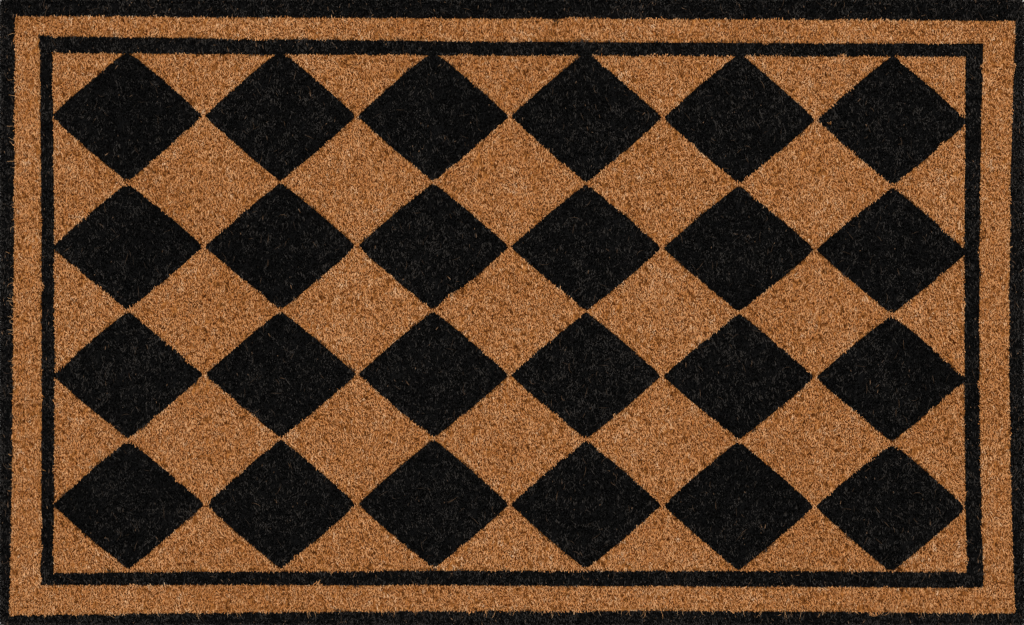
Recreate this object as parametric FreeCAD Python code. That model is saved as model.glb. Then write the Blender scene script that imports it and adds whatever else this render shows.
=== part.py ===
"""Door mat of coconut fibre: a vinyl backing with a cut pile in two colours set in it.

Millimetres. +X runs along the mat's long side, +Y to its back edge and +Z up. The origin is
the centre of the underside. Each colour zone of the pile is a solid of its own, and the
zones stand side by side on the backing, face to face.
"""

import FreeCAD, Part
import os

# overall size
MAT_LENGTH = 750.0
MAT_WIDTH = 458.0
MAT_HEIGHT = 16.0
BACKING_THICKNESS = 2.5
CORNER_RADIUS = 3.0
# the pile's outer rim is a little lower than its top, where the edge tufts splay
RIM_ROUND = 2.5

# how far in each ring of colour ends, from the mat's left, right, front and back edges
OUTER_BORDER_INSETS = (9.3, 9.2, 9.6, 13.6)
NATURAL_BORDER_INSETS = (29.8, 31.2, 28.4, 29.9)
FRAME_LINE_INSETS = (39.2, 42.8, 39.3, 40.6)

# black diamonds, from point to point before the points are blunted
DIAMOND_COLUMNS = 6
DIAMOND_ROWS = 4
DIAMOND_LENGTH = 110.5
DIAMOND_WIDTH = 93.9
DIAMOND_SIDE_BULGE = 0.8
DIAMOND_TIP_RADIUS = 1.5
# from the frame line to those points
TIP_CLEARANCE = 0.3

PILE_HEIGHT = MAT_HEIGHT - BACKING_THICKNESS


def inset_edges(insets):
    """The left, right, front and back coordinates of a ring's edge."""
    left, right, front, back = insets
    return (
        left - MAT_LENGTH / 2,
        MAT_LENGTH / 2 - right,
        front - MAT_WIDTH / 2,
        MAT_WIDTH / 2 - back,
    )


def block(insets, bottom, height):
    """An upright block inside the given insets."""
    left, right, front, back = inset_edges(insets)
    corner = FreeCAD.Vector(left, front, bottom)
    return Part.makeBox(right - left, back - front, height, corner)


def upright_edges(shape):
    """The shape's vertical edges."""
    found = []
    for edge in shape.Edges:
        start, end = edge.Vertexes[0].Point, edge.Vertexes[-1].Point
        if abs(start.z - end.z) > 0.99 * shape.BoundBox.ZLength:
            found.append(edge)
    return found


def top_edges(shape):
    """The edges that lie in the shape's top face."""
    top = shape.BoundBox.ZMax
    return [edge for edge in shape.Edges if edge.BoundBox.ZMin > top - 0.01]


def mat_block(bottom, height):
    """A block of the whole mat's outline, with its rounded corners."""
    plain = block((0, 0, 0, 0), bottom, height)
    return plain.makeFillet(CORNER_RADIUS, upright_edges(plain))


def vinyl_backing():
    return mat_block(0, BACKING_THICKNESS)


def pile_block(insets):
    return block(insets, BACKING_THICKNESS, PILE_HEIGHT)


def black_outer_border():
    whole = mat_block(BACKING_THICKNESS, PILE_HEIGHT)
    rounded = whole.makeFillet(RIM_ROUND, top_edges(whole))
    return rounded.cut(pile_block(OUTER_BORDER_INSETS))


def natural_border():
    return pile_block(OUTER_BORDER_INSETS).cut(pile_block(NATURAL_BORDER_INSETS))


def black_frame_line():
    return pile_block(NATURAL_BORDER_INSETS).cut(pile_block(FRAME_LINE_INSETS))


def bulged_side(start, end, centre):
    """A very slightly outward-bowed side of a diamond."""
    middle = (start + end) * 0.5
    outward = (middle - centre).normalize()
    return Part.Arc(start, middle + outward * DIAMOND_SIDE_BULGE, end).toShape()


def diamond(centre_x, centre_y):
    """One black diamond of pile, with bowed sides and blunted points."""
    centre = FreeCAD.Vector(centre_x, centre_y, BACKING_THICKNESS)
    along = FreeCAD.Vector(DIAMOND_LENGTH / 2, 0, 0)
    across = FreeCAD.Vector(0, DIAMOND_WIDTH / 2, 0)
    points = [centre + along, centre + across, centre - along, centre - across]
    sides = []
    for number, point in enumerate(points):
        sides.append(bulged_side(point, points[(number + 1) % 4], centre))
    prism = Part.Face(Part.Wire(sides)).extrude(FreeCAD.Vector(0, 0, PILE_HEIGHT))
    return prism.makeFillet(DIAMOND_TIP_RADIUS, upright_edges(prism))


def evenly_spaced(low, high, count, size):
    """Centres of pieces of one size that fill a span, clear of its ends."""
    first = low + TIP_CLEARANCE + size / 2
    last = high - TIP_CLEARANCE - size / 2
    return [first + (last - first) * number / (count - 1) for number in range(count)]


def black_diamonds():
    """Every diamond by name. Rows count from the back edge, columns from the left."""
    left, right, front, back = inset_edges(FRAME_LINE_INSETS)
    columns = evenly_spaced(left, right, DIAMOND_COLUMNS, DIAMOND_LENGTH)
    rows = evenly_spaced(front, back, DIAMOND_ROWS, DIAMOND_WIDTH)
    named = {}
    for row, centre_y in enumerate(reversed(rows), start=1):
        for column, centre_x in enumerate(columns, start=1):
            named[f"black_diamond_r{row}_c{column}"] = diamond(centre_x, centre_y)
    return named


def natural_field(diamonds):
    """The natural pile inside the frame line, all round the diamonds."""
    return pile_block(FRAME_LINE_INSETS).cut(list(diamonds.values()))


def single_solid(shape):
    """The one solid that a cut leaves."""
    assert len(shape.Solids) == 1, "a sub-part must be one solid"
    return shape.Solids[0]


def mat_parts():
    diamonds = black_diamonds()
    parts = {
        "vinyl_backing": vinyl_backing(),
        "black_outer_border_pile": black_outer_border(),
        "natural_border_pile": natural_border(),
        "black_frame_line_pile": black_frame_line(),
        "natural_field_pile": natural_field(diamonds),
    }
    parts.update(diamonds)
    return parts


os.makedirs("parts", exist_ok=True)
for name, shape in mat_parts().items():
    solid = single_solid(shape)
    solid.exportStep(f"parts/{name}.step")
    print(f"{name}: {solid.Volume / 1000:.1f} cm3")
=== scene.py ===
"""The looks of a coconut-fibre door mat: a vinyl backing and a cut pile in two colours.

Metres, in the frame's own axes: +X along the mat's long side, +Y to its back edge, +Z up.
The pile is bundles of fibre, each a closed mesh, that stand in a denser underpile. Every
colour zone of the CAD model is stood for by its own pieces.
"""

import math

import bpy
import numpy as np
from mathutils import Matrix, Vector


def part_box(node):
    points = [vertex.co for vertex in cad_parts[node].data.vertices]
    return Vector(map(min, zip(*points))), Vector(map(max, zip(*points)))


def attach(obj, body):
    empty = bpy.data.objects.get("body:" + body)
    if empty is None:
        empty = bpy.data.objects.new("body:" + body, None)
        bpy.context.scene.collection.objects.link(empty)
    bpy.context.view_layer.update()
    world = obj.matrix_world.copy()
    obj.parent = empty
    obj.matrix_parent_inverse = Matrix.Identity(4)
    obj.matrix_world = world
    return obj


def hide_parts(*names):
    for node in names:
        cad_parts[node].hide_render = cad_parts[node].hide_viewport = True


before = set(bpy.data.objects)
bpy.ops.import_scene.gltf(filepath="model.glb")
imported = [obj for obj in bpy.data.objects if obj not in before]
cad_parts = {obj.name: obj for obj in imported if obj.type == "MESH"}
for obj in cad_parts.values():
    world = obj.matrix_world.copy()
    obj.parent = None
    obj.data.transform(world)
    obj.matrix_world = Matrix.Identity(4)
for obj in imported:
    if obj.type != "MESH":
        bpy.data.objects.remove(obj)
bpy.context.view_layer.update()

MM = 0.001
BODY = "root"
RANDOM = np.random.default_rng(20)

# heights
BACKING_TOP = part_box("vinyl_backing")[1].z
PILE_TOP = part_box("natural_field_pile")[1].z
UNDERPILE_TOP = PILE_TOP - 4.6 * MM
ROOT_DEPTH = 0.6 * MM

# outline
MAT_LOW, MAT_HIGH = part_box("vinyl_backing")
CORNER_RADIUS = 3 * MM

# bundles of fibre: short ones are straight, long ones lean over in two steps
SIDES = 3
BUNDLE_SPACING = 1.0 * MM
SCATTER = 0.6
PILE_INSET = 0.4 * MM
BLACK_SHARE = 0.7
BUNDLE_RADIUS = (0.19 * MM, 0.4 * MM)
LONG_SHARE = 0.3
SHORT_LEAN = (0.5 * MM, 2.3 * MM)
LONG_LEAN = (2.3 * MM, 4.8 * MM)
# a shape's rings, from its root up: how far along its lean, how far up, and how thick
SHORT_SHAPE = ((-0.5, 0.0, 1.0), (0.5, 1.0, 0.75))
LONG_SHAPE = ((-0.55, 0.0, 1.0), (-0.12, 0.6, 0.95), (0.45, 1.0, 0.7))
# most bundles reach only so far past the edge of their colour
TIDY_SHARE = 0.8
TIDY_REACH = 1.4 * MM
# cut tips lie about here against the pile's top, in mm, and never higher than the limit
TIP_HEIGHTS = (-0.5, 0.25)
TIP_TOP = 0.5 * MM
MIDDLE_TONE = 0.5
PILE_TONE_SPREAD = 0.03
LEAN_SPREAD = 0.38
LEAN_CLUMP_WIDTH = 4.5 * MM
LEAN_CLUMP_STRAY = 0.7
DARK_CLUMP_SHARE = 0.6
# small dark gaps, where the pile has parted and lies low, with the bundles there given a darker tone as
# painted shade
PIT_WIDTH = 2.4 * MM
PIT_SHARE = 0.13
PIT_DROP = 3.0 * MM
PIT_PAINTED_SHADE = -0.45
PIT_KEPT_SHARE = 0.6

# how the pile varies from place to place: each wave's strength, and its width in mm
LEAN_SWIRL = ((0.3, 3.4), (0.2, 14))
TIP_CLUMPS = ((0.65, 3.6),)
TONE_CLUMPS = ((0.2, 2.6), (0.09, 6))
TONE_MOTTLING = ((0.04, 25), (0.035, 90))
BROAD_WAVER = ((0.35, 60), (0.3, 24))
FINE_WAVER = ((0.22, 3),)
NEAR_WAVER_WIDTH = 8 * MM
NEAR_WAVER = 0.25
NEAR_WAVER_PEAKS = 0.1

# bundles at the mat's sides, rooted in rows and splayed outwards
EDGE_SPACING = 0.55 * MM
EDGE_ROWS = 4
EDGE_INSET = -0.7 * MM
EDGE_ROW_STEP = 0.65 * MM
EDGE_SPLAY = (-0.3 * MM, 1.8 * MM)
UNDERPILE_INSET = -0.3 * MM
EDGE_RADIUS = (0.2 * MM, 0.36 * MM)
EDGE_SHAPE = ((0.0, 0.0, 1.0), (0.35, 0.7, 0.95), (1.0, 1.0, 0.7))
EDGE_ROOT_DEPTH = 0.3 * MM
EDGE_TONE_SPREAD = 0.15
# in mm: how far the roots stray, how far the tips slant along the side, how low they are cut
EDGE_STRAY = 0.3
EDGE_SLANT = 1.0
EDGE_CUTS = (0.0, 1.6)

# black pile: how much wider its tones are, and the share of undyed bundles among it
BLACK_TONE_SPREAD = 2.4
BLACK_TONE_TOP = 0.9
BLACK_TONE_SHIFT = -0.08
BLACK_OWN_SPREAD = 0.13
UNDYED_SHARES = {"outer": 0.024, "frame": 0.018, "diamond": 0.004}
UNDYED_TONES = (0.91, 1.0)
# how much paler the outer border is at its left, right, front and back, as painted highlight where its
# fibres glint, and how much paler the frame line is
OUTER_GLINT_TONES = (0.26, 0.27, 0.31, 0.04)
FRAME_PALER_TONE = 0.11

# single long fibres on top
HAIR_SPACING = 8 * MM
HAIR_LENGTH = (3 * MM, 9 * MM)
HAIR_RADIUS = (0.07 * MM, 0.13 * MM)
HAIR_RINGS = 5
HAIR_INSET = 2 * MM
HAIR_BEND = 0.9
HAIR_TAPER = 0.6
HAIR_END_DEPTH = 0.9 * MM
HAIR_ANGLE_SPREAD = 0.8
# how far a hair's middle stands over the pile, in mm
HAIR_RISE = (0.1, 0.8)
HAIR_ROOM = 3.5 * MM
CROSSING_HAIR_SHARE = 0.1
NATURAL_HAIR_SHARE = 0.45
OUTER_HAIR_SHARE = 0.9
BLACK_HAIR_SHARE = 0.4
NATURAL_HAIR_TONE = 0.8
BLACK_HAIR_TONE = 0.925
NATURAL_HAIR_SPREAD = 0.1
BLACK_HAIR_SPREAD = 0.02
# pale fibres over the outer border: how many, and the way they hang
FRONT_STRAYS = (120, -0.5 * math.pi)
LEFT_STRAYS = (45, math.pi)
STRAY_SCATTER = 1.2
STRAY_ANGLE_SPREAD = 0.35

# vinyl backing
EMBOSS_PITCH = 10 * MM
EMBOSS_DEPTH = 0.35 * MM
GROOVE_WIDTH = 1.2 * MM
GROOVE_SLOPE = 0.5 * MM
CUT_EDGE_HEIGHTS = (0.3, 0.7, 1.0)
CUT_EDGE_WAVER = 0.12 * MM
LINE_DIGITS = 7
LINE_TOLERANCE = 0.01 * MM

# colour zones
FIELD_BANDS = 10
ROWS, COLUMNS = range(1, 5), range(1, 7)
DIAMONDS = [f"black_diamond_r{row}_c{column}" for row in ROWS for column in COLUMNS]
RINGS = ["black_outer_border", "natural_border", "black_frame_line"]
RING_SIDES = ["left", "right", "front", "back"]
OUTER_ZONE, NATURAL_BORDER_ZONE, FRAME_ZONE = range(len(RINGS))
FIELD_ZONE = len(RINGS)
FIRST_DIAMOND_ZONE = FIELD_ZONE + 1
FAR_AWAY = 1.0

# a diamond's sides bow out
DIAMOND_BOW = 0.8 * MM
# how far its sides would meet beyond its box in CAD, and how much is cut off again: side, end
DIAMOND_BLUNTING = (0.7 * MM, 0.4 * MM)
TIP_BLUNTING = (1.3 * MM, 1.55 * MM)

# the pattern as it is laid: each line's lean and bow in mm, inwards, at left, right, front, back
INNER_BLOCKS = ("natural_field_pile", "black_frame_line_pile", "natural_border_pile")
LINE_LEANS = {
    "natural_border_pile": (2.0, -0.3, 0.7, 1.8),
    "black_frame_line_pile": (-0.5, 0.1, -1.2, 3.0),
    "natural_field_pile": (-0.5, 0.3, 0.4, 1.6),
}
LINE_BOWS = {
    "natural_border_pile": (0.8, 5.0, 2.8, 0.0),
    "black_frame_line_pile": (1.7, 3.9, 0.7, 1.5),
    "natural_field_pile": (1.7, 1.8, 1.7, 0.8),
}
BOW_LEVEL = 0.25
LINE_STEPS = 40
# the field's and the diamonds' underpile runs under the frame line, each at its own height
FIELD_LAP = 1.5 * MM
FIELD_DROP = 0.1 * MM
DIAMOND_DROP = 0.05 * MM
RIM_WIDTH = 0.1 * MM
TIP_LIMIT = Vector((0.3 * MM, 0.3 * MM))
TIP_LAP = Vector((FIELD_LAP, FIELD_LAP))
# how far back the rows of diamonds lie from their straight grid, from front to back, in mm
ROW_LIFTS = ((-189, 0.5), (-95, 1.8), (47, 0.8), (94, 0.6), (188, 3.0))
# behind this line the diamonds' points are sharp, because they run into the frame line
BACK_ROW_MIDDLE = 141 * MM
# the columns spread, the rows lean forward to the right and bow, and all are shifted, in mm
COLUMN_SPREAD, COLUMN_SPREAD_BACK = 2.2, 1.0
ROW_LEAN, ROW_LEAN_BACK = 1.9, 0.8
ROW_BOW = 2.2
PATTERN_SHIFT = (0.2, 0.6)


# ---------------------------------------------------------------- noise and outlines


def smooth_noise(x, y, cell):
    """Random numbers about 0, smooth over a cell's width, at the points."""
    u, v = (x - x.min()) / cell, (y - y.min()) / cell
    grid = RANDOM.normal(size=(int(u.max()) + 2, int(v.max()) + 2))
    i, j = u.astype(int), v.astype(int)
    s, t = u - i, v - j
    s, t = s * s * (3 - 2 * s), t * t * (3 - 2 * t)
    near = grid[i, j] * (1 - s) + grid[i + 1, j] * s
    far = grid[i, j + 1] * (1 - s) + grid[i + 1, j + 1] * s
    return near * (1 - t) + far * t


def mottled(x, y, waves):
    """Smooth noises of several widths, added up."""
    return sum(strength * smooth_noise(x, y, width * MM) for strength, width in waves)


def rectangle_depth(x, y, low, high):
    """How far inside a rectangle the points are."""
    across = np.minimum(x - low.x, high.x - x)
    return np.minimum(across, np.minimum(y - low.y, high.y - y))


def diamond_depth(x, y, low, high):
    """How far inside a diamond the points are. Its sides bow out and its points are blunt."""
    half_x = (high.x - low.x) / 2 + DIAMOND_BLUNTING[0]
    half_y = (high.y - low.y) / 2 + DIAMOND_BLUNTING[1]
    across = np.abs(x - (low.x + high.x) / 2) / half_x
    along = np.abs(y - (low.y + high.y) / 2) / half_y
    slope = half_x * half_y / math.hypot(half_x, half_y)
    bow = DIAMOND_BOW * 4 * np.clip(across * (1 - across), 0, 1)
    side_tip = (1 - across) * half_x - TIP_BLUNTING[0]
    end_tip = (1 - along) * half_y - np.where(y > BACK_ROW_MIDDLE, 0, TIP_BLUNTING[1])
    return np.minimum((1 - across - along) * slope + bow, np.minimum(side_tip, end_tip))


def mat_depth(x, y):
    """How far inside the mat's outline, with its rounded corners, the points are."""
    past_x = np.maximum(MAT_LOW.x - x, x - MAT_HIGH.x) + CORNER_RADIUS
    past_y = np.maximum(MAT_LOW.y - y, y - MAT_HIGH.y) + CORNER_RADIUS
    rounded = CORNER_RADIUS - np.hypot(past_x, past_y)
    corner = (past_x > 0) & (past_y > 0)
    return np.where(corner, rounded, rectangle_depth(x, y, MAT_LOW, MAT_HIGH))


def outline_points(spacing, inset):
    """Points along the mat's outline, each with its outward direction."""
    radius = CORNER_RADIUS - inset
    half_x = MAT_HIGH.x - CORNER_RADIUS
    half_y = MAT_HIGH.y - CORNER_RADIUS
    found = []
    for turn, (corner_x, corner_y) in enumerate(((1, 1), (-1, 1), (-1, -1), (1, -1))):
        steps = math.ceil(radius * math.pi / 2 / spacing)
        for step in range(steps):
            angle = (turn + (step + 0.5) / steps) * math.pi / 2
            out_x, out_y = math.cos(angle), math.sin(angle)
            x = corner_x * half_x + radius * out_x
            y = corner_y * half_y + radius * out_y
            found.append((x, y, out_x, out_y))
    for sign in (-1, 1):
        for x in np.arange(-half_x, half_x, spacing):
            found.append((x, sign * (half_y + radius), 0, sign))
        for y in np.arange(-half_y, half_y, spacing):
            found.append((sign * (half_x + radius), y, sign, 0))
    return np.array(found).T


# ---------------------------------------------------------------- colour zones


def wander(x, y):
    """The small waver of a colour's edge where the tufts are set."""
    near = smooth_noise(x, y, NEAR_WAVER_WIDTH)
    broad = mottled(x, y, BROAD_WAVER)
    fine = mottled(x, y, FINE_WAVER)
    return (broad + NEAR_WAVER * near + NEAR_WAVER_PEAKS * near**3 + fine) * MM


def line_drifts(x, y, node):
    """How far inwards a ring's inner block lies off the straight at its left, right, front, back."""
    right, back = x / MAT_HIGH.x, y / MAT_HIGH.y
    drifts = []
    for lean, bow, run in zip(LINE_LEANS[node], LINE_BOWS[node], (back, back, right, right)):
        drifts.append((lean * run + bow * (BOW_LEVEL - run**2)) * MM)
    return drifts


def line_depth(x, y, node):
    """How far inside a ring's inner block the points are, with its sides as they are laid."""
    low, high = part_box(node)
    left, right, front, back = line_drifts(x, y, node)
    across = np.minimum(x - low.x - left, high.x - right - x)
    return np.minimum(across, np.minimum(y - low.y - front, high.y - back - y))


def diamond_drift(x, y):
    """How far the laid diamonds are from their straight grid, at a place on it."""
    right, back = x / MAT_HIGH.x, y / MAT_HIGH.y
    drift_x = (COLUMN_SPREAD + COLUMN_SPREAD_BACK * back) * right + PATTERN_SHIFT[0]
    lift = np.interp(y, [place * MM for place, _ in ROW_LIFTS], [lift for _, lift in ROW_LIFTS])
    leant = lift - (ROW_LEAN + ROW_LEAN_BACK * back) * right
    drift_y = leant + PATTERN_SHIFT[1] - ROW_BOW * right**2
    return drift_x * MM, drift_y * MM


def zones_and_room(x, y):
    """Each point's zone, and how far it is from the nearest other colour."""
    x, y = x + wander(x, y), y + wander(x, y)
    zone = np.full(x.shape, FIELD_ZONE)
    room = np.full(x.shape, FAR_AWAY)
    drift_x, drift_y = diamond_drift(x, y)
    for number, node in enumerate(DIAMONDS):
        depth = diamond_depth(x - drift_x, y - drift_y, *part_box(node))
        zone[depth > 0] = FIRST_DIAMOND_ZONE + number
        room = np.minimum(room, np.abs(depth))
    for number, node in zip((FRAME_ZONE, NATURAL_BORDER_ZONE, OUTER_ZONE), INNER_BLOCKS):
        depth = line_depth(x, y, node)
        zone[depth < 0] = number
        room = np.minimum(room, np.abs(depth))
    return zone, room


def ring_sides(x, y):
    """Which side of the mat each point is nearest to, as a number in RING_SIDES."""
    gaps = [x - MAT_LOW.x, MAT_HIGH.x - x, y - MAT_LOW.y, MAT_HIGH.y - y]
    return np.argmin(gaps, axis=0)


# ---------------------------------------------------------------- bundles of fibre


class Bundles:
    """Bundles of fibre: each a row of centres and radii from its root to its cut tip."""

    def __init__(self, centres, radii, tone):
        self.centres = centres
        self.radii = radii
        self.tone = tone

    def chosen(self, mask):
        return Bundles(self.centres[mask], self.radii[mask], self.tone[mask])


def scattered_points(spacing, inset):
    """Points all over the mat, one in each cell of a grid, and each moved at random."""
    x, y = np.meshgrid(
        np.arange(MAT_LOW.x, MAT_HIGH.x, spacing), np.arange(MAT_LOW.y, MAT_HIGH.y, spacing)
    )
    x, y = x.ravel(), y.ravel()
    x = x + RANDOM.uniform(-SCATTER, SCATTER, x.shape) * spacing
    y = y + RANDOM.uniform(-SCATTER, SCATTER, y.shape) * spacing
    inside = mat_depth(x, y) > inset
    return x[inside], y[inside]


def lean_directions(x, y):
    """The way each bundle leans: mostly along Y, in clumps that share a direction."""
    swirl = mottled(x, y, LEAN_SWIRL)
    clump = smooth_noise(x, y, LEAN_CLUMP_WIDTH)
    back = clump + RANDOM.normal(0, LEAN_CLUMP_STRAY, x.shape) > 0
    along_y = np.where(back, 0.5, -0.5) * math.pi
    angle = along_y + swirl + RANDOM.normal(0, LEAN_SPREAD, x.shape)
    return np.cos(angle), np.sin(angle)


def tones(x, y, spread):
    """A tone for each bundle: its own, its clump's, and the mat's slow mottling."""
    own = RANDOM.normal(MIDDLE_TONE, spread, x.shape)
    clump = mottled(x, y, TONE_CLUMPS)
    clump = np.where(clump < 0, DARK_CLUMP_SHARE * clump, clump)
    slow = mottled(x, y, TONE_MOTTLING)
    return np.clip(own + clump + slow, 0, 1)


def in_pits(x, y):
    """Which points fall in the small dark gaps where the pile has parted and lies low."""
    depth = smooth_noise(x, y, PIT_WIDTH)
    return depth < np.quantile(depth, PIT_SHARE)


def pile_bundles(x, y, room, sunk, lean, shape):
    """Leaning bundles whose visible middles are at the points."""
    count = len(x)
    away_x, away_y = lean_directions(x, y)
    length = RANDOM.uniform(*lean, count)
    tidy = RANDOM.uniform(size=count) < TIDY_SHARE
    length = np.where(tidy, np.minimum(length, 2 * room + TIDY_REACH), length)
    clump = mottled(x, y, TIP_CLUMPS)
    tip = PILE_TOP + (RANDOM.normal(*TIP_HEIGHTS, count) + clump) * MM
    tip = np.minimum(tip, PILE_TOP + TIP_TOP) - PIT_DROP * sunk
    root = UNDERPILE_TOP - ROOT_DEPTH
    radius = RANDOM.uniform(*BUNDLE_RADIUS, count)
    centres = np.empty((count, len(shape), 3))
    radii = np.empty((count, len(shape)))
    for ring, (share, rise, taper) in enumerate(shape):
        centres[:, ring, 0] = x + away_x * length * share
        centres[:, ring, 1] = y + away_y * length * share
        centres[:, ring, 2] = root + (tip - root) * rise
        radii[:, ring] = radius * taper
    # bundles in the pits get a darker tone: painted shade
    tone = tones(x, y, PILE_TONE_SPREAD) + PIT_PAINTED_SHADE * sunk
    return Bundles(centres, radii, np.clip(tone, 0, 1))


def edge_bundles():
    """Bundles at the mat's sides, seen from the vinyl up to their cut tips."""
    insets = [EDGE_INSET + EDGE_ROW_STEP * row for row in range(EDGE_ROWS)]
    rows = [outline_points(EDGE_SPACING, inset) for inset in insets]
    x, y, out_x, out_y = np.concatenate(rows, axis=1)
    count = len(x)
    x = x + RANDOM.uniform(-EDGE_STRAY, EDGE_STRAY, count) * MM
    y = y + RANDOM.uniform(-EDGE_STRAY, EDGE_STRAY, count) * MM
    splay = RANDOM.uniform(*EDGE_SPLAY, count)
    slant = RANDOM.normal(0, EDGE_SLANT, count) * MM
    tip = PILE_TOP - RANDOM.uniform(*EDGE_CUTS, count) * MM
    root = BACKING_TOP - EDGE_ROOT_DEPTH
    radius = RANDOM.uniform(*EDGE_RADIUS, count)
    centres = np.empty((count, len(EDGE_SHAPE), 3))
    radii = np.empty((count, len(EDGE_SHAPE)))
    for ring, (share, rise, taper) in enumerate(EDGE_SHAPE):
        centres[:, ring, 0] = x + (out_x * splay - out_y * slant) * share
        centres[:, ring, 1] = y + (out_y * splay + out_x * slant) * share
        centres[:, ring, 2] = root + (tip - root) * rise
        radii[:, ring] = radius * taper
    return Bundles(centres, radii, tones(x, y, EDGE_TONE_SPREAD))


def stray_hairs(x, y, angle, tone):
    """Single long fibres that lie on top of the pile in loose curves."""
    count = len(x)
    bend = RANDOM.normal(0, HAIR_BEND, count)
    length = RANDOM.uniform(*HAIR_LENGTH, count)
    share = np.linspace(-0.5, 0.5, HAIR_RINGS)
    turn = angle[:, None] + bend[:, None] * share
    step = length[:, None] / (HAIR_RINGS - 1)
    centres = np.empty((count, HAIR_RINGS, 3))
    run_x = np.cumsum(np.cos(turn) * step, axis=1)
    run_y = np.cumsum(np.sin(turn) * step, axis=1)
    centres[:, :, 0] = x[:, None] + run_x - run_x.mean(axis=1, keepdims=True)
    centres[:, :, 1] = y[:, None] + run_y - run_y.mean(axis=1, keepdims=True)
    arch = 1 - (2 * share) ** 2
    rise = RANDOM.uniform(*HAIR_RISE, count)[:, None] * MM
    centres[:, :, 2] = PILE_TOP - HAIR_END_DEPTH + (HAIR_END_DEPTH + rise) * arch
    radii = RANDOM.uniform(*HAIR_RADIUS, count)[:, None] * np.linspace(1, HAIR_TAPER, HAIR_RINGS)
    return Bundles(centres, radii, np.clip(tone, 0, 1))


# ---------------------------------------------------------------- meshes

# a level direction that no bundle runs along
ASIDE = (0.6, 0.8, 0.0)
# a cell's margin, and where the points of its two end triangles lie
MAP_PAD = 0.14
END_MAP_POINTS = (0.3, 0.7)
# the share of a map's height that the bundles take, and the gap before the underpile's strip
BUNDLE_MAP_SHARE = 0.92
MAP_GAP = 0.01


def prism_vertices(bundles):
    """The corners of each bundle's sections, square to its run."""
    step = np.gradient(bundles.centres, axis=1)
    step /= np.linalg.norm(step, axis=2, keepdims=True)
    side = np.cross(step, ASIDE)
    side /= np.linalg.norm(side, axis=2, keepdims=True)
    other = np.cross(step, side)
    spin = RANDOM.uniform(0, 2 * math.pi, (len(step), 1, 1))
    corners = []
    for corner in range(SIDES):
        angle = spin + 2 * math.pi * corner / SIDES
        out = np.cos(angle) * side + np.sin(angle) * other
        corners.append(bundles.centres + out * bundles.radii[..., None])
    return np.stack(corners, axis=2).reshape(-1, 3)


def prism_faces(count, rings):
    """Side quads and end triangles of closed prisms, as vertex numbers."""
    quads = []
    for ring in range(rings - 1):
        for corner in range(SIDES):
            beside = (corner + 1) % SIDES
            low, high = ring * SIDES, (ring + 1) * SIDES
            quads.append((low + corner, low + beside, high + beside, high + corner))
    last = (rings - 1) * SIDES
    ends = [(2, 1, 0), (last, last + 1, last + 2)]
    first = (np.arange(count) * rings * SIDES)[:, None, None]
    return (first + np.array(quads)).reshape(-1, 4), (first + np.array(ends)).reshape(-1, 3)


def prism_maps(count, rings, low, high):
    """Texture coordinates: a cell for each bundle, with its length up the cell.

    The cells fill the strip of the map from low to high.
    """
    across = math.ceil(math.sqrt(count / (high - low)))
    down = math.ceil(count / across)
    wide, tall = 1 / across, (high - low) / down
    number = np.arange(count)
    left = (number % across)[:, None] * wide
    foot = low + (number // across)[:, None] * tall
    near, far = MAP_PAD, 1 - MAP_PAD
    levels = np.linspace(near, far, rings)
    quads = []
    for start, end in zip(levels[:-1], levels[1:]):
        quads += [(near, start), (far, start), (far, end), (near, end)] * SIDES
    ends = []
    for level, point in zip((near, far), END_MAP_POINTS):
        ends += [(near, level), (far, level), (0.5, point)]
    found = []
    for cell in (np.array(quads), np.array(ends)):
        u = left + cell[:, 0] * wide
        v = foot + cell[:, 1] * tall
        found.append(np.stack([u, v], axis=-1).reshape(-1, 2))
    return found


def side_shares():
    """Places along a side from 0 to 1, closest together near its two corners."""
    return (1 - np.cos(np.pi * np.arange(LINE_STEPS) / LINE_STEPS)) / 2


def square_loop():
    """Points once round a unit square, counter-clockwise from its front left corner."""
    share = side_shares()
    flat, full = np.zeros(LINE_STEPS), np.ones(LINE_STEPS)
    u = np.concatenate([share, full, 1 - share, flat])
    v = np.concatenate([flat, share, full, 1 - share])
    return u, v


def laid_loop(node):
    """The outline of a ring's inner block, with its lines as they are laid."""
    low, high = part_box(node)
    u, v = square_loop()
    x = low.x + (high.x - low.x) * u
    y = low.y + (high.y - low.y) * v
    left, right, front, back = line_drifts(x, y, node)
    return x + (1 - u) * left - u * right, y + (1 - v) * front - v * back


def mat_loop(inset):
    """The mat's outline with its rounded corners, with as many points as the other loops."""
    u, v = square_loop()
    x = (MAT_LOW.x + inset) * (1 - u) + (MAT_HIGH.x - inset) * u
    y = (MAT_LOW.y + inset) * (1 - v) + (MAT_HIGH.y - inset) * v
    return rounded_in(x, y, CORNER_RADIUS - inset)


def rounded_in(x, y, radius):
    """Points past the arc of a rounded corner, pulled back onto it."""
    centre_x = np.sign(x) * (MAT_HIGH.x - CORNER_RADIUS)
    centre_y = np.sign(y) * (MAT_HIGH.y - CORNER_RADIUS)
    out_x, out_y = x - centre_x, y - centre_y
    corner = (out_x * x > 0) & (out_y * y > 0)
    pull = np.maximum(np.hypot(out_x, out_y) / radius, 1)
    return np.where(corner, centre_x + out_x / pull, x), np.where(corner, centre_y + out_y / pull, y)


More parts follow.
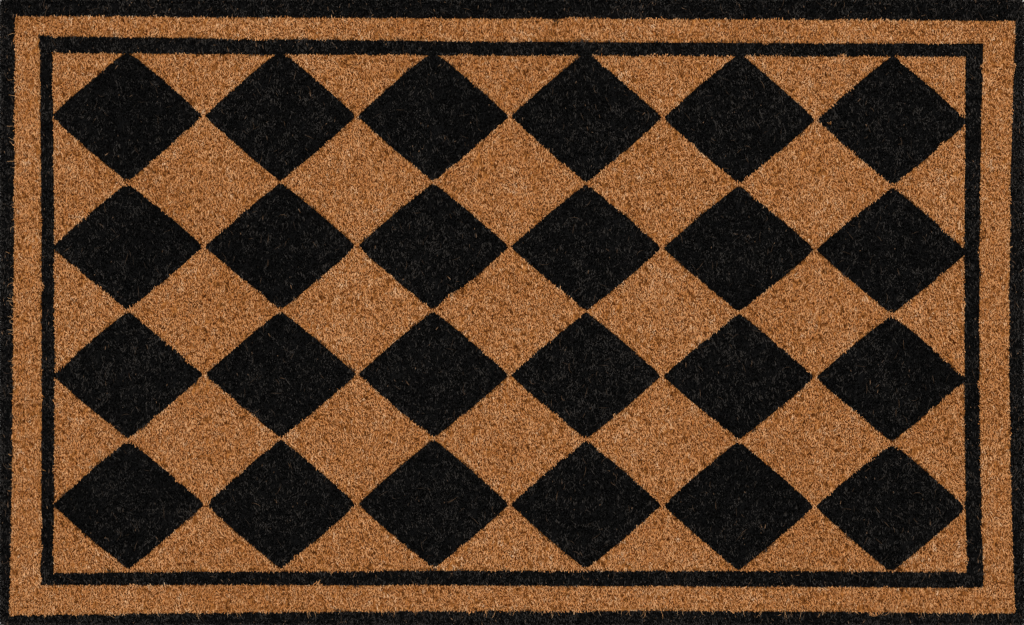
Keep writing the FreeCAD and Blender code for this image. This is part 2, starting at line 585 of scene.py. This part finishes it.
def ring_slab(number):
    """A ring's underpile: a closed band between two laid lines."""
    lines = [mat_loop(UNDERPILE_INSET)] + [laid_loop(node) for node in reversed(INNER_BLOCKS)]
    outer, inner = lines[number : number + 2]
    heights = (BACKING_TOP, UNDERPILE_TOP, UNDERPILE_TOP, BACKING_TOP)
    count = len(inner[0])
    loops = []
    for (x, y), z in zip((outer, outer, inner, inner), heights):
        loops.append(np.stack([x, y, np.full(count, z)], axis=1))
    here = np.arange(count)
    beside = (here + 1) % count
    faces = []
    for loop in range(len(loops)):
        this = loop * count
        following = (loop + 1) % len(loops) * count
        corners = (this + here, this + beside, following + beside, following + here)
        faces.append(np.stack(corners, axis=1))
    return np.concatenate(loops), np.concatenate(faces)


def inner_slab(node):
    """The underpile of a diamond or of the natural field, with the diamonds as they are laid."""
    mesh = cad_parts[node].data
    points = np.array([vertex.co for vertex in mesh.vertices])
    faces = np.array([polygon.vertices for polygon in mesh.polygons])
    low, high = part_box("natural_field_pile")
    rim = rectangle_depth(points[:, 0], points[:, 1], low, high) < RIM_WIDTH
    drift = np.stack(diamond_drift(points[:, 0], points[:, 1]), axis=1)
    field = node == "natural_field_pile"
    limit, drop = (TIP_LIMIT, FIELD_DROP) if field else (-TIP_LAP, DIAMOND_DROP)
    moved = np.clip(points[:, :2] + drift, low.xy + limit, high.xy - limit)
    lapped = points[:, :2] + np.sign(points[:, :2]) * FIELD_LAP
    points[:, :2] = np.where(rim[:, None], lapped, moved)
    points[:, 2] = np.minimum(points[:, 2], UNDERPILE_TOP - drop)
    return points, faces


def underpile(node):
    """The points and faces of a zone's underpile."""
    for number, ring in enumerate(RINGS):
        if node == f"{ring}_pile":
            return ring_slab(number)
    return inner_slab(node)


class Pile:
    """Gathers what a piece of pile is made of, and makes its mesh."""

    def __init__(self):
        self.vertices, self.loops, self.sizes, self.maps = [], [], [], []
        self.rise, self.tone, self.material, self.smooth = [], [], [], []
        self.count = 0

    def add(self, vertices, faces, maps, rise, tone, material, smooth):
        self.vertices.append(vertices)
        self.loops.append(faces.ravel() + self.count)
        self.sizes.append(np.full(len(faces), faces.shape[1]))
        self.maps.append(maps)
        self.rise.append(rise)
        self.tone.append(tone)
        self.material.append(np.full(len(faces), material))
        self.smooth.append(np.full(len(faces), smooth))

    def add_bundles(self, bundles, low, high):
        count, rings = bundles.radii.shape
        if count == 0:
            return
        vertices = prism_vertices(bundles)
        quads, ends = prism_faces(count, rings)
        quad_maps, end_maps = prism_maps(count, rings, low, high)
        rise = np.tile(np.repeat(np.linspace(0, 1, rings), SIDES), count)
        tone = np.repeat(bundles.tone, rings * SIDES)
        self.add(vertices, quads, quad_maps, rise, tone, 0, True)
        none = np.empty(0)
        self.add(np.empty((0, 3)), ends, end_maps, none, none, 0, False)
        self.count += len(vertices)

    def add_underpile(self, points, faces, low, high):
        """The dense lower pile, mapped from above on the strip of the map from low to high."""
        share = (points - points.min(0)) / (points.max(0) - points.min(0))
        maps = share[faces.ravel(), :2] * (1, high - low) + (0, low)
        none = np.zeros(len(points))
        self.add(points, faces, maps, none, none, 1, False)
        self.count += len(points)

    def piece(self, name, materials):
        mesh = bpy.data.meshes.new(name)
        sizes = np.concatenate(self.sizes)
        loops = np.concatenate(self.loops).astype(np.int32)
        mesh.vertices.add(self.count)
        mesh.vertices.foreach_set("co", np.concatenate(self.vertices).astype(np.float32).ravel())
        mesh.loops.add(len(loops))
        mesh.loops.foreach_set("vertex_index", loops)
        mesh.polygons.add(len(sizes))
        mesh.polygons.foreach_set("loop_start", (np.cumsum(sizes) - sizes).astype(np.int32))
        mesh.polygons.foreach_set("material_index", np.concatenate(self.material).astype(np.int32))
        mesh.polygons.foreach_set("use_smooth", np.concatenate(self.smooth))
        mesh.update()
        layer = mesh.uv_layers.new(name="OFBake")
        layer.data.foreach_set("uv", np.concatenate(self.maps).astype(np.float32).ravel())
        for label, values in (("rise", self.rise), ("tone", self.tone)):
            attribute = mesh.attributes.new(label, "FLOAT", "POINT")
            attribute.data.foreach_set("value", np.concatenate(values).astype(np.float32))
        for material in materials:
            mesh.materials.append(material)
        mesh.validate()
        piece = bpy.data.objects.new(name, mesh)
        bpy.context.scene.collection.objects.link(piece)
        return piece


def pile_piece(name, node, groups, with_underpile):
    """One piece of a zone's pile, from groups of bundles."""
    pile = Pile()
    top = BUNDLE_MAP_SHARE if with_underpile else 1.0
    total = sum(len(bundles.tone) for bundles in groups)
    low = 0.0
    for bundles in groups:
        high = low + top * len(bundles.tone) / total
        pile.add_bundles(bundles, low, high)
        low = high
    if with_underpile:
        pile.add_underpile(*underpile(node), top + MAP_GAP, 1.0)
    black = node.startswith("black")
    piece = pile.piece(name, BLACK_MATERIALS if black else NATURAL_MATERIALS)
    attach(piece, BODY)
    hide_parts(node)
    return piece


# ---------------------------------------------------------------- materials

WHITE = (1.0, 1.0, 1.0)
# how painted shade darkens a bundle's colour partway up, and the flecks along it
MIDDLE_SHADE = (0.55, (0.97, 0.92, 0.82))
FLECK_SCALE = 2800.0
FLECKS = [(0.3, (0.86, 0.84, 0.82)), (0.7, WHITE)]
UNDERPILE_SCALE, UNDERPILE_DETAIL = 420.0, 4.0
UNDERPILE_STOPS = (0.36, 0.62)
UNDERPILE_ROUGHNESS = 0.9
# vinyl: clouds of colour, patches of gloss, and a pitted grain that also gives its relief and darkens the
# colour in the low pits of that relief as painted shade
VINYL_CLOUD_SCALE, VINYL_CLOUD_DETAIL = 38.0, 4.0
VINYL_CLOUDS = [(0.32, (0.016, 0.016, 0.017)), (0.66, (0.036, 0.035, 0.034))]
VINYL_GLOSS_SCALE, VINYL_GLOSS_DETAIL = 120.0, 3.0
VINYL_GLOSS = [(0.3, (0.48, 0.48, 0.48)), (0.7, (0.68, 0.68, 0.68))]
VINYL_GRAIN_SCALE, VINYL_GRAIN_DETAIL = 1900.0, 3.0
VINYL_GRAIN_AND_PIT_SHADE = [(0.36, (0.72, 0.72, 0.72)), (0.62, WHITE)]
VINYL_RELIEF = 0.1 * MM
VINYL_RELIEF_STRENGTH = 0.25
FLOOR_COLOUR = (0.62, 0.6, 0.57, 1)
FLOOR_ROUGHNESS = 0.9


def node_material(name):
    material = bpy.data.materials.new(name)
    material.use_nodes = True
    tree = material.node_tree
    return material, tree, tree.nodes["Principled BSDF"]


def ramp(tree, source, stops):
    """A colour ramp fed by a socket."""
    node = tree.nodes.new("ShaderNodeValToRGB")
    elements = node.color_ramp.elements
    while len(elements) < len(stops):
        elements.new(0.5)
    for element, (place, colour) in zip(elements, stops):
        element.position = place
        element.color = (*colour, 1)
    tree.links.new(source, node.inputs["Fac"])
    return node.outputs["Color"]


def attribute(tree, name):
    node = tree.nodes.new("ShaderNodeAttribute")
    node.attribute_name = name
    return node.outputs["Fac"]


def noise(tree, scale, detail=2.0):
    place = tree.nodes.new("ShaderNodeTexCoord")
    node = tree.nodes.new("ShaderNodeTexNoise")
    node.inputs["Scale"].default_value = scale
    node.inputs["Detail"].default_value = detail
    tree.links.new(place.outputs["Object"], node.inputs["Vector"])
    return node.outputs["Fac"]


def multiplied(tree, one, other):
    mix = tree.nodes.new("ShaderNodeMix")
    mix.data_type = "RGBA"
    mix.blend_type = "MULTIPLY"
    mix.inputs["Factor"].default_value = 1.0
    tree.links.new(one, mix.inputs["A"])
    tree.links.new(other, mix.inputs["B"])
    return mix.outputs["Result"]


def fibre_material(name, tone_stops, root_shade, roughness, specular):
    """Cut fibre: a tone for each bundle, flecked along it, and darker towards its root as painted shade.
    """
    material, tree, shader = node_material(name)
    colour = ramp(tree, attribute(tree, "tone"), tone_stops)
    shade_stops = [(0.0, root_shade), MIDDLE_SHADE, (1.0, WHITE)]
    shade = ramp(tree, attribute(tree, "rise"), shade_stops)
    fleck = ramp(tree, noise(tree, FLECK_SCALE), FLECKS)
    colour = multiplied(tree, multiplied(tree, colour, shade), fleck)
    tree.links.new(colour, shader.inputs["Base Color"])
    shader.inputs["Roughness"].default_value = roughness
    shader.inputs["Specular IOR Level"].default_value = specular
    return material


def underpile_material(name, dark, light, specular):
    """Dense lower fibre, seen between the bundles, coloured darker than the fibre above it as painted
    shade deep in the pile.
    """
    material, tree, shader = node_material(name)
    patches = noise(tree, UNDERPILE_SCALE, UNDERPILE_DETAIL)
    colour = ramp(tree, patches, list(zip(UNDERPILE_STOPS, (dark, light))))
    tree.links.new(colour, shader.inputs["Base Color"])
    shader.inputs["Roughness"].default_value = UNDERPILE_ROUGHNESS
    shader.inputs["Specular IOR Level"].default_value = specular
    return material


NATURAL_TONES = [
    (0.0, (0.10, 0.028, 0.003)),
    (0.25, (0.436, 0.168, 0.041)),
    (0.52, (0.593, 0.286, 0.1125)),
    (0.78, (0.666, 0.376, 0.181)),
    (1.0, (0.735, 0.5, 0.309)),
]
BLACK_TONES = [
    (0.0, (0.0002, 0.0002, 0.0001)),
    (0.5, (0.0022, 0.002, 0.0018)),
    (0.9, (0.0325, 0.0295, 0.0275)),
    (1.0, (0.20, 0.12, 0.07)),
]
# root_shade is painted shade, darker towards each bundle's root; the underpile's colours, darker than the
# fibre's, are painted shade deep in the pile
NATURAL_MATERIALS = (
    fibre_material(
        "natural_coir_fibre", NATURAL_TONES, root_shade=(0.84, 0.6, 0.27), roughness=0.7, specular=0.1
    ),
    underpile_material(
        "natural_coir_underpile", dark=(0.13, 0.042, 0.006), light=(0.42, 0.17, 0.042), specular=0.15
    ),
)
BLACK_MATERIALS = (
    fibre_material(
        "black_coir_fibre", BLACK_TONES, root_shade=(0.095, 0.095, 0.095), roughness=0.46, specular=0.085
    ),
    underpile_material(
        "black_coir_underpile", dark=(0.0008, 0.0008, 0.0008), light=(0.003, 0.0026, 0.0024), specular=0.1
    ),
)


# ---------------------------------------------------------------- the mat's pieces


def is_natural(zone):
    return np.isin(zone, (NATURAL_BORDER_ZONE, FIELD_ZONE))


class Crop:
    """Bundles with the zone, the side of the mat and the band of the field that each is in."""

    def __init__(self, bundles, x, y, zone):
        self.bundles, self.zone = bundles, zone
        self.side = ring_sides(x, y)
        low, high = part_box("natural_field_pile")
        share = (y - low.y) / (high.y - low.y)
        self.band = np.clip(share * FIELD_BANDS, 0, FIELD_BANDS - 1).astype(int)

    def in_ring(self, number, side):
        return self.bundles.chosen((self.zone == number) & (self.side == side))

    def in_band(self, band):
        return self.bundles.chosen((self.zone == FIELD_ZONE) & (self.band == band))

    def in_diamond(self, number):
        return self.bundles.chosen(self.zone == FIRST_DIAMOND_ZONE + number)


def dyed(tone, zone, side):
    """Tones of the black pile: spread wide, with a few undyed bundles and a border made paler as painted
    highlight.
    """
    black = ~is_natural(zone)
    outer, frame_line = zone == OUTER_ZONE, zone == FRAME_ZONE
    # the outer border is made paler as painted highlight where its fibres glint, the frame line a little
    # paler too
    paler_tone = np.array(OUTER_GLINT_TONES)[side] * outer + FRAME_PALER_TONE * frame_line
    wide = MIDDLE_TONE + (tone - MIDDLE_TONE) * BLACK_TONE_SPREAD + paler_tone
    wide = wide + RANDOM.normal(BLACK_TONE_SHIFT, BLACK_OWN_SPREAD, zone.shape)
    share = np.full(zone.shape, UNDYED_SHARES["diamond"])
    share[outer] = UNDYED_SHARES["outer"]
    share[frame_line] = UNDYED_SHARES["frame"]
    undyed = RANDOM.uniform(size=zone.shape) < share
    pale = RANDOM.uniform(*UNDYED_TONES, zone.shape)
    dark = np.clip(wide, 0, BLACK_TONE_TOP)
    return np.where(black, np.where(undyed, pale, dark), tone)


def pile_crops():
    """The standing pile, in short and long bundles."""
    x, y = scattered_points(BUNDLE_SPACING, PILE_INSET)
    zone, room = zones_and_room(x, y)
    sunk = in_pits(x, y)
    share = np.where(is_natural(zone), 1.0, BLACK_SHARE) * np.where(sunk, PIT_KEPT_SHARE, 1.0)
    kept = RANDOM.uniform(size=x.shape) < share
    x, y, zone, room, sunk = x[kept], y[kept], zone[kept], room[kept], sunk[kept]
    long = RANDOM.uniform(size=x.shape) < LONG_SHARE
    crops = []
    for mask, lean, shape in ((~long, SHORT_LEAN, SHORT_SHAPE), (long, LONG_LEAN, LONG_SHAPE)):
        bundles = pile_bundles(x[mask], y[mask], room[mask], sunk[mask], lean, shape)
        crop = Crop(bundles, x[mask], y[mask], zone[mask])
        bundles.tone = dyed(bundles.tone, crop.zone, crop.side)
        crops.append(crop)
    return crops


def hair_crop():
    """Long fibres all over: pale on the natural pile, dull brown on the black."""
    x, y = scattered_points(HAIR_SPACING, HAIR_INSET)
    zone, room = zones_and_room(x, y)
    natural = is_natural(zone)
    share = np.where(natural, NATURAL_HAIR_SHARE, BLACK_HAIR_SHARE)
    share[zone == OUTER_ZONE] = OUTER_HAIR_SHARE
    crossing = RANDOM.uniform(size=x.shape) < CROSSING_HAIR_SHARE
    kept = (RANDOM.uniform(size=x.shape) < share) & (crossing | ~natural | (room > HAIR_ROOM))
    x, y, zone, natural = x[kept], y[kept], zone[kept], natural[kept]
    along_y = RANDOM.choice((-0.5, 0.5), len(x)) * math.pi
    angle = along_y + RANDOM.normal(0, HAIR_ANGLE_SPREAD, len(x))
    spread = np.where(natural, NATURAL_HAIR_SPREAD, BLACK_HAIR_SPREAD)
    tone = np.where(natural, NATURAL_HAIR_TONE, BLACK_HAIR_TONE) + spread * RANDOM.normal(size=len(x))
    return Crop(stray_hairs(x, y, angle, tone), x, y, zone)


def border_stray_crop(across, strays):
    """Pale fibres that hang over the black border from one side of the natural border."""
    low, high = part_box("natural_border_pile")
    count, direction = strays
    place = RANDOM.uniform(low, high, (count, 3))
    place[:, across] = low[across] + RANDOM.normal(0, STRAY_SCATTER, count) * MM
    x, y = place[:, 0], place[:, 1]
    angle = RANDOM.normal(direction, STRAY_ANGLE_SPREAD, count)
    tone = RANDOM.normal(NATURAL_HAIR_TONE, NATURAL_HAIR_SPREAD, count)
    return Crop(stray_hairs(x, y, angle, tone), x, y, np.full(count, NATURAL_BORDER_ZONE))


def edge_crop():
    """The splayed bundles at the mat's sides."""
    edges = edge_bundles()
    zone = np.zeros(len(edges.tone), int)
    crop = Crop(edges, edges.centres[:, 0, 0], edges.centres[:, 0, 1], zone)
    edges.tone = dyed(edges.tone, crop.zone, crop.side)
    return crop


def pile_pieces():
    """Every piece of the pile: four for each ring, the field in bands, and the diamonds."""
    strays = [border_stray_crop(1, FRONT_STRAYS), border_stray_crop(0, LEFT_STRAYS)]
    crops = pile_crops() + [hair_crop(), *strays, edge_crop()]
    pieces = []
    for number, ring in enumerate(RINGS):
        for turn, name in enumerate(RING_SIDES):
            groups = [crop.in_ring(number, turn) for crop in crops]
            pieces.append(pile_piece(f"{ring}_{name}", f"{ring}_pile", groups, turn == 0))
    for band in range(FIELD_BANDS):
        groups = [crop.in_band(band) for crop in crops]
        name = f"natural_field_band_{band + 1}"
        pieces.append(pile_piece(name, "natural_field_pile", groups, band == 0))
    for number, node in enumerate(DIAMONDS):
        groups = [crop.in_diamond(number) for crop in crops]
        pieces.append(pile_piece(f"{node}_tufts", node, groups, True))
    return pieces


# ---------------------------------------------------------------- vinyl backing


def emboss_lines(low, high):
    """Grid lines across the underside: two at the edge of each raised square, two in each groove."""
    count = round((high - low) / EMBOSS_PITCH)
    pitch = (high - low) / count
    starts = low + pitch * np.arange(count)
    half_groove = GROOVE_WIDTH / 2
    offsets = (0.0, half_groove, half_groove + GROOVE_SLOPE, pitch - half_groove - GROOVE_SLOPE)
    lines = [starts + offset for offset in offsets] + [starts + pitch - half_groove]
    lines = np.unique(np.round(np.concatenate(lines + [np.array([high])]), LINE_DIGITS))
    raised = np.zeros(len(lines), bool)
    for offset in offsets[2:]:
        gaps = np.abs(lines[:, None] - (starts + offset))
        raised |= np.min(gaps, axis=1) < LINE_TOLERANCE
    return lines, raised


def vinyl_material():
    """Foamed black vinyl: uneven in colour and gloss, with a fine pitted grain whose low pits are
    darkened as painted shade.
    """
    material, tree, shader = node_material("black_vinyl")
    colour = ramp(tree, noise(tree, VINYL_CLOUD_SCALE, VINYL_CLOUD_DETAIL), VINYL_CLOUDS)
    pits = noise(tree, VINYL_GRAIN_SCALE, VINYL_GRAIN_DETAIL)
    # the colour is darker where the relief is low: grain and painted shade in its pits
    grain_and_pit_shade = ramp(tree, pits, VINYL_GRAIN_AND_PIT_SHADE)
    tree.links.new(multiplied(tree, colour, grain_and_pit_shade), shader.inputs["Base Color"])
    gloss = ramp(tree, noise(tree, VINYL_GLOSS_SCALE, VINYL_GLOSS_DETAIL), VINYL_GLOSS)
    tree.links.new(gloss, shader.inputs["Roughness"])
    bump = tree.nodes.new("ShaderNodeBump")
    bump.inputs["Strength"].default_value = VINYL_RELIEF_STRENGTH
    bump.inputs["Distance"].default_value = VINYL_RELIEF
    tree.links.new(pits, bump.inputs["Height"])
    tree.links.new(bump.outputs["Normal"], shader.inputs["Normal"])
    return material


def vinyl_sheet():
    """The backing: a flat sheet with raised squares beneath and a slightly uneven cut edge."""
    x_lines, x_raised = emboss_lines(MAT_LOW.x, MAT_HIGH.x)
    y_lines, y_raised = emboss_lines(MAT_LOW.y, MAT_HIGH.y)
    across, down = len(x_lines), len(y_lines)
    x, y = (grid.ravel() for grid in np.meshgrid(x_lines, y_lines))
    raised = (x_raised[None, :] & y_raised[:, None]).ravel()
    x, y = rounded_in(x, y, CORNER_RADIUS)
    under = np.stack([x, y, np.where(raised, 0.0, EMBOSS_DEPTH)], axis=1)
    number = np.arange(across * down).reshape(down, across)
    near, beside = number[:-1, :-1].ravel(), number[:-1, 1:].ravel()
    above, far = number[1:, :-1].ravel(), number[1:, 1:].ravel()
    faces = np.stack([near, above, far, beside], axis=1).tolist()
    rim = np.concatenate([number[0, :-1], number[:-1, -1], number[-1, :0:-1], number[:0:-1, 0]])
    points = [under]
    rows = [rim]
    total = len(under)
    for height in CUT_EDGE_HEIGHTS:
        out = 1 + RANDOM.normal(0, CUT_EDGE_WAVER, len(rim)) / MAT_HIGH.x
        row = under[rim] * out[:, None]
        row[:, 2] = BACKING_TOP * height
        points.append(row)
        rows.append(np.arange(total, total + len(rim)))
        total += len(rim)
    for low, high in zip(rows[:-1], rows[1:]):
        sides = np.stack([low, np.roll(low, -1), np.roll(high, -1), high], axis=1)
        faces += sides.tolist()
    faces.append(rows[-1].tolist())
    mesh = bpy.data.meshes.new("vinyl_backing_sheet")
    mesh.from_pydata(np.concatenate(points).tolist(), [], faces)
    mesh.materials.append(vinyl_material())
    sheet = bpy.data.objects.new("vinyl_backing_sheet", mesh)
    bpy.context.scene.collection.objects.link(sheet)
    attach(sheet, BODY)
    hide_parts("vinyl_backing")
    return sheet


pieces = pile_pieces()
backing = vinyl_sheet()


# ---------------------------------------------------------------- floor, light and camera

FLOOR_REACH = 3
# each light's name, place, width and power
LIGHTS = (
    ("key", (0.7, 1.9, 2.9), 1.6, 88),
    ("fill", (-0.8, -1.6, 2.9), 2.4, 52),
)
WORLD_STRENGTH = 0.93
CAMERA_HEIGHT = 4.0
SENSOR_WIDTH = 36


def floor():
    """A plain pale floor under the mat."""
    mesh = bpy.data.meshes.new("floor")
    corners = [(x * FLOOR_REACH, y * FLOOR_REACH, 0) for x, y in ((-1, -1), (1, -1), (1, 1), (-1, 1))]
    mesh.from_pydata(corners, [], [(0, 1, 2, 3)])
    plane = bpy.data.objects.new("floor", mesh)
    bpy.context.scene.collection.objects.link(plane)
    material, _, shader = node_material("floor")
    shader.inputs["Base Color"].default_value = FLOOR_COLOUR
    shader.inputs["Roughness"].default_value = FLOOR_ROUGHNESS
    mesh.materials.append(material)


def area_light(name, place, size, power):
    """A round soft light aimed at the mat's middle."""
    data = bpy.data.lights.new(name, "AREA")
    data.shape = "DISK"
    data.size = size
    data.energy = power
    light = bpy.data.objects.new(name, data)
    light.location = place
    light.rotation_euler = (-Vector(place)).to_track_quat("-Z", "Y").to_euler()
    bpy.context.scene.collection.objects.link(light)


floor()
for light in LIGHTS:
    area_light(*light)
world = bpy.data.worlds.new("studio")
world.use_nodes = True
world.node_tree.nodes["Background"].inputs["Color"].default_value = (1, 1, 1, 1)
world.node_tree.nodes["Background"].inputs["Strength"].default_value = WORLD_STRENGTH
bpy.context.scene.world = world
bpy.context.scene.view_settings.view_transform = "Standard"

camera_data = bpy.data.cameras.new("camera")
camera_data.sensor_width = SENSOR_WIDTH
camera_data.lens = camera_data.sensor_width * (CAMERA_HEIGHT - PILE_TOP) / (MAT_HIGH.x - MAT_LOW.x)
camera = bpy.data.objects.new("camera", camera_data)
camera.location = (0, 0, CAMERA_HEIGHT)
bpy.context.scene.collection.objects.link(camera)
bpy.context.scene.camera = camera
